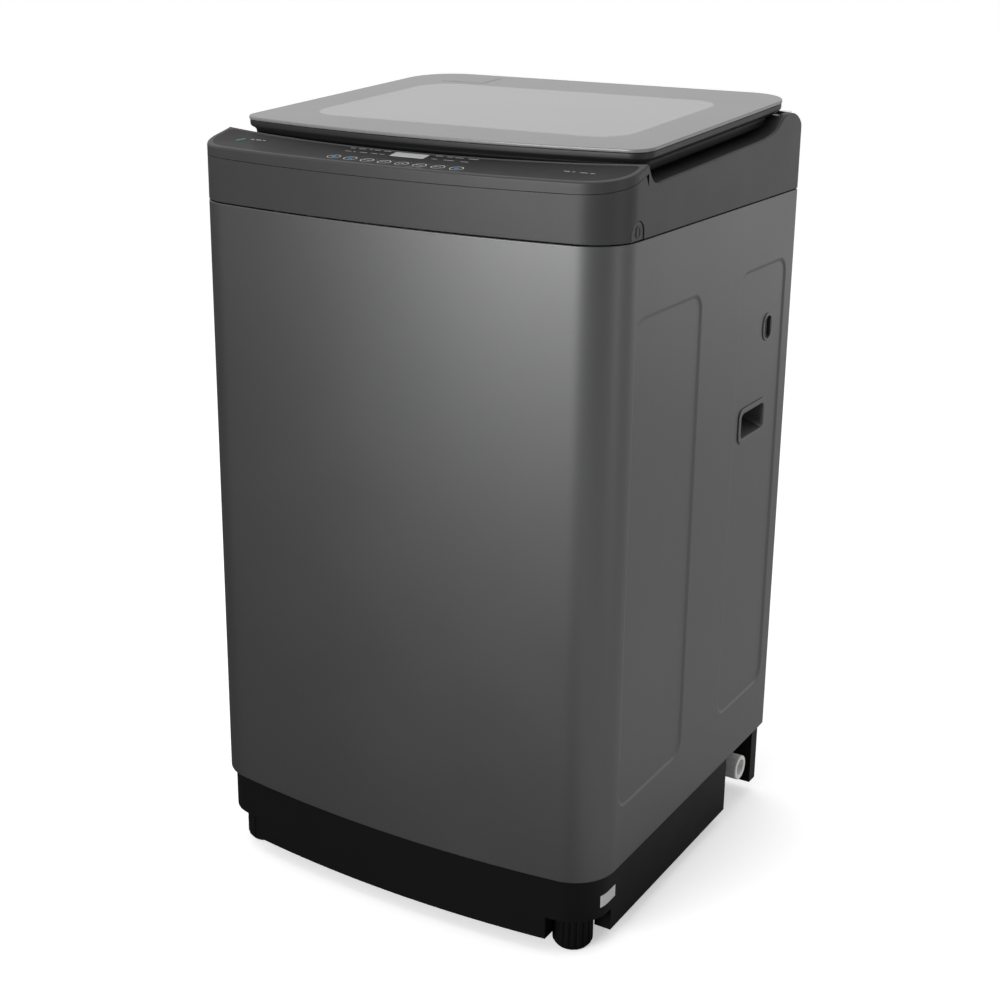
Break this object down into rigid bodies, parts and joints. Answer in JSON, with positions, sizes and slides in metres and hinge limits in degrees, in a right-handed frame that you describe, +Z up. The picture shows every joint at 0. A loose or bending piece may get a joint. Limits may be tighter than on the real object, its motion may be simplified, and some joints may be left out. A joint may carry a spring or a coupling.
{
  "type": "top load washing machine",
  "caption": "Upright top-loading washing machine with a bowed steel front, tilted glass lid on a rear hinge, control panel with soft keys, and a spinning basket with a pulsator.",
  "frame": {"origin": "on the floor, under the middle of the machine's box", "axes": "+Z up, -Y the bowed front with the control panel, +X the right hand side with the drain spigot"},
  "size_m": [0.56, 0.55, 0.965],
  "materials": {
    "cabinet_paint": "dark grey metallic lacquer, satin",
    "rear_zinc": "galvanised sheet",
    "base_plastic": "black, fine grain",
    "rubber": "black rubber",
    "cover_plastic": "dark grey, satin sheen",
    "panel_film": "near black film",
    "key_caps": "near black, pale ring",
    "display_glass": "pale clear window",
    "lid_glass": "grey tinted tempered glass with a printed border",
    "circuit_board": "solder mask",
    "grey_plastic": "mid grey moulding",
    "white_plastic": "natural white moulding",
    "stainless": "stainless, brushed",
    "zinc_steel": "zinc plated",
    "cast_aluminium": "as cast"
  },
  "bodies": {
    "root": {"cabinet_wrap": "cabinet_paint", "side_handle_right": "cabinet_paint", "side_handle_left": "cabinet_paint", "slot_rim_right": "cabinet_paint", "slot_rim_left": "cabinet_paint", "rear_panel": "rear_zinc", "base_frame": "base_plastic", "cord_gland": "base_plastic", "lid_lock": "base_plastic", "rear_foot_right": "rubber", "rear_foot_left": "rubber", "drive_belt": "rubber", "drain_hose": "rubber", "top_cover": "cover_plastic", "cover_clip_right": "cover_plastic", "cover_clip_left": "cover_plastic", "control_panel": "cover_plastic", "panel_film": "panel_film", "display_window": "display_glass", "control_board": "circuit_board", "drawer_housing": "white_plastic", "inlet_valve": "white_plastic", "outer_tub": "white_plastic", "tub_cover": "white_plastic", "spring_cap_1": "white_plastic", "spring_cap_2": "white_plastic", "spring_cap_3": "white_plastic", "spring_cap_4": "white_plastic", "drain_valve": "white_plastic", "drain_spigot": "white_plastic", "suspension_rod_1": "zinc_steel", "suspension_rod_2": "zinc_steel", "suspension_rod_3": "zinc_steel", "suspension_rod_4": "zinc_steel", "motor": "zinc_steel", "gearbox": "cast_aluminium"},
    "lid": {"lid_glass": "lid_glass", "lid_frame": "cover_plastic", "lid_liner": "cover_plastic", "lid_hinge_rod": "stainless"},
    "basket": {"wash_basket": "stainless", "balance_ring": "grey_plastic", "basket_hub": "cast_aluminium", "lint_filter": "grey_plastic"},
    "agitator": {"pulsator": "grey_plastic", "wash_shaft": "stainless"},
    "pulley": {"drive_pulley": "cast_aluminium"},
    "rotor": {"motor_pulley": "cast_aluminium"},
    "foot_right": {"front_foot_right": "base_plastic"},
    "foot_left": {"front_foot_left": "base_plastic"},
    "drawer": {"detergent_drawer": "grey_plastic"},
    "key_1": {"soft_key_1": "key_caps"},
    "key_2": {"soft_key_2": "key_caps"},
    "key_3": {"soft_key_3": "key_caps"},
    "key_4": {"soft_key_4": "key_caps"},
    "key_5": {"soft_key_5": "key_caps"},
    "key_6": {"soft_key_6": "key_caps"},
    "key_7": {"soft_key_7": "key_caps"},
    "key_8": {"soft_key_8": "key_caps"}
  },
  "joints": [
    {"name": "lid_hinge", "type": "hinge", "parent": "root", "child": "lid", "pos_m": [0, 0.232, 0.944], "axis": [-1, 0, 0], "range_deg": [0, 80]},
    {"name": "basket_spin", "type": "hinge", "parent": "root", "child": "basket", "pos_m": [0, -0.008, 0.5], "axis": [0, 0, 1], "continuous": true},
    {"name": "pulley_spin", "type": "hinge", "parent": "root", "child": "pulley", "pos_m": [0, -0.008, 0.138], "axis": [0, 0, 1], "continuous": true},
    {"name": "agitator_spin", "type": "hinge", "parent": "root", "child": "agitator", "pos_m": [0, -0.008, 0.3], "axis": [0, 0, 1], "continuous": true},
    {"name": "rotor_spin", "type": "hinge", "parent": "root", "child": "rotor", "pos_m": [-0.113, 0.105, 0.138], "axis": [0, 0, 1], "continuous": true},
    {"name": "foot_right_screw", "type": "slide", "parent": "root", "child": "foot_right", "axis": [0, 0, -1], "range_m": [0, 0.012]},
    {"name": "foot_left_screw", "type": "slide", "parent": "root", "child": "foot_left", "axis": [0, 0, -1], "range_m": [0, 0.012]},
    {"name": "drawer_slide", "type": "slide", "parent": "root", "child": "drawer", "axis": [0, -1, 0], "range_m": [0, 0.075]},
    {"name": "key_1_press", "type": "slide", "parent": "root", "child": "key_1", "axis": [0, 0, -1], "range_m": [0, 0.0008], "stiffness_N_per_m": 1500, "springref_m": -0.0008},
    {"name": "key_2_press", "type": "slide", "parent": "root", "child": "key_2", "axis": [0, 0, -1], "range_m": [0, 0.0008], "stiffness_N_per_m": 1500, "springref_m": -0.0008},
    {"name": "key_3_press", "type": "slide", "parent": "root", "child": "key_3", "axis": [0, 0, -1], "range_m": [0, 0.0008], "stiffness_N_per_m": 1500, "springref_m": -0.0008},
    {"name": "key_4_press", "type": "slide", "parent": "root", "child": "key_4", "axis": [0, 0, -1], "range_m": [0, 0.0008], "stiffness_N_per_m": 1500, "springref_m": -0.0008},
    {"name": "key_5_press", "type": "slide", "parent": "root", "child": "key_5", "axis": [0, 0, -1], "range_m": [0, 0.0008], "stiffness_N_per_m": 1500, "springref_m": -0.0008},
    {"name": "key_6_press", "type": "slide", "parent": "root", "child": "key_6", "axis": [0, 0, -1], "range_m": [0, 0.0008], "stiffness_N_per_m": 1500, "springref_m": -0.0008},
    {"name": "key_7_press", "type": "slide", "parent": "root", "child": "key_7", "axis": [0, 0, -1], "range_m": [0, 0.0008], "stiffness_N_per_m": 1500, "springref_m": -0.0008},
    {"name": "key_8_press", "type": "slide", "parent": "root", "child": "key_8", "axis": [0, 0, -1], "range_m": [0, 0.0008], "stiffness_N_per_m": 1500, "springref_m": -0.0008}
  ],
  "couplings": [
    {"joint": "agitator_spin", "follows": "pulley_spin", "ratio": 0.25},
    {"joint": "rotor_spin", "follows": "pulley_spin", "ratio": 2.9655}
  ]
}
